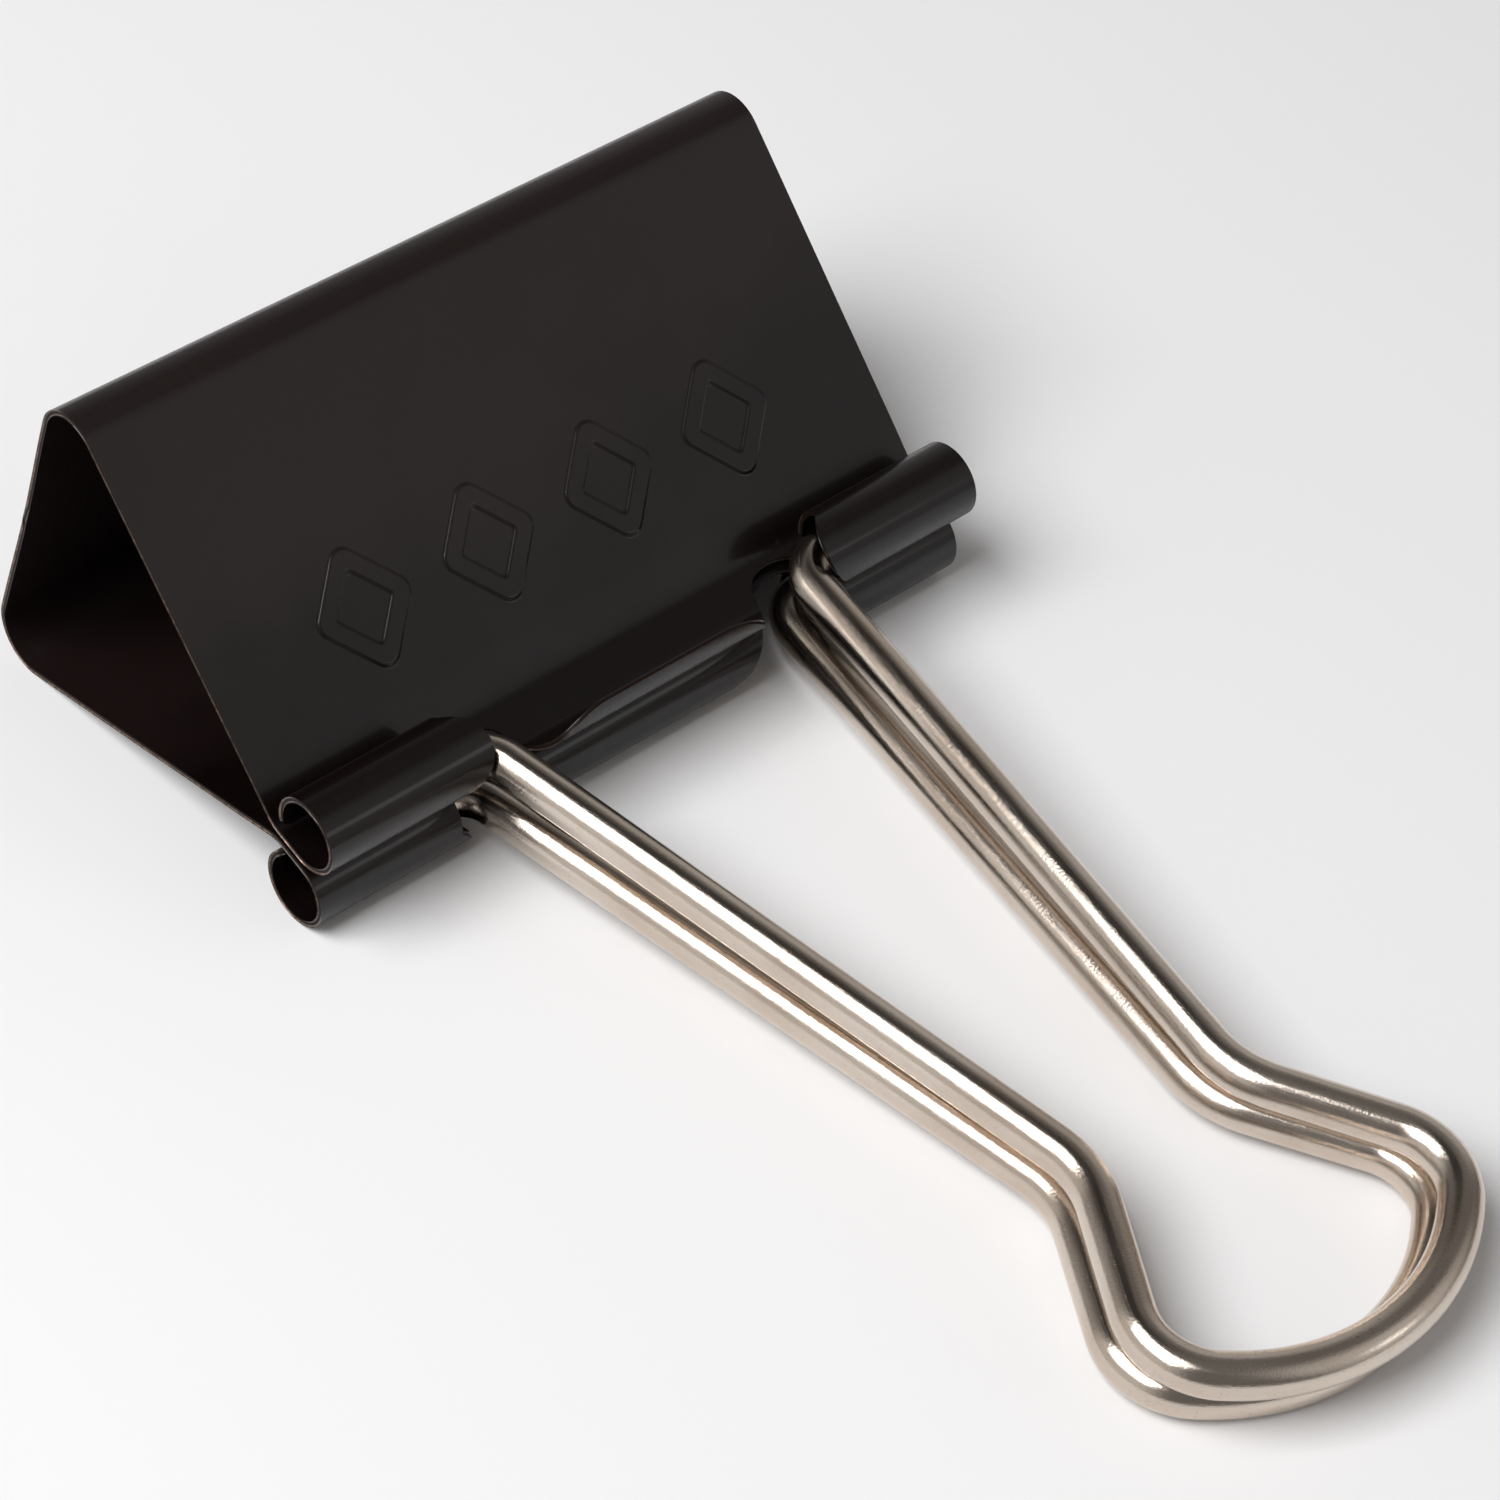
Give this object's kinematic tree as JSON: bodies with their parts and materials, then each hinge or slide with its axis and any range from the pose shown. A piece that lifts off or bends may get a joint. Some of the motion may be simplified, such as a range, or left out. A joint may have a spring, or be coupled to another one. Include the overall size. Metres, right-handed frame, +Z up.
{
  "type": "binder clip",
  "caption": "Sprung steel paper clip: a triangular sheet body with rolled lips that opens at its spine, and two wire loop handles that fold flat or back.",
  "frame": {"origin": "middle of the footprint, on the surface the clip lies on", "axes": "+X across the clip, +Y from the handles' tips towards the spine, +Z up"},
  "size_m": [0.051, 0.0932, 0.024],
  "materials": {
    "black_lacquer": "semi-gloss black lacquer on spring steel, worn to brown metal at the cut edges",
    "nickel_wire": "bright nickel plate on drawn wire"
  },
  "bodies": {
    "spine": {"spine": "black_lacquer"},
    "upper_jaw": {"upper_jaw": "black_lacquer"},
    "lower_jaw": {"lower_jaw": "black_lacquer"},
    "upper_handle": {"upper_handle": "nickel_wire"},
    "lower_handle": {"lower_handle": "nickel_wire"}
  },
  "joints": [
    {"name": "upper_jaw_hinge", "type": "hinge", "parent": "spine", "child": "upper_jaw", "pos_m": [0, 0.03914, 0.02377], "axis": [-1, 0, 0], "range_deg": [0, 28], "stiffness_Nm_per_rad": 3, "springref_deg": -4.01},
    {"name": "lower_jaw_hinge", "type": "hinge", "parent": "spine", "child": "lower_jaw", "pos_m": [0, 0.04569, 0.00098], "axis": [1, 0, 0], "range_deg": [0, 28], "stiffness_Nm_per_rad": 3, "springref_deg": -4.01},
    {"name": "upper_handle_hinge", "type": "hinge", "parent": "upper_jaw", "child": "upper_handle", "pos_m": [0, 0.01676, 0.00741], "axis": [-1, 0, 0], "range_deg": [0, 140]},
    {"name": "lower_handle_hinge", "type": "hinge", "parent": "lower_jaw", "child": "lower_handle", "pos_m": [0, 0.01804, 0.00296], "axis": [1, 0, 0], "range_deg": [0, 168]}
  ],
  "couplings": [
    {"joint": "lower_jaw_hinge", "follows": "upper_jaw_hinge", "ratio": 1}
  ]
}
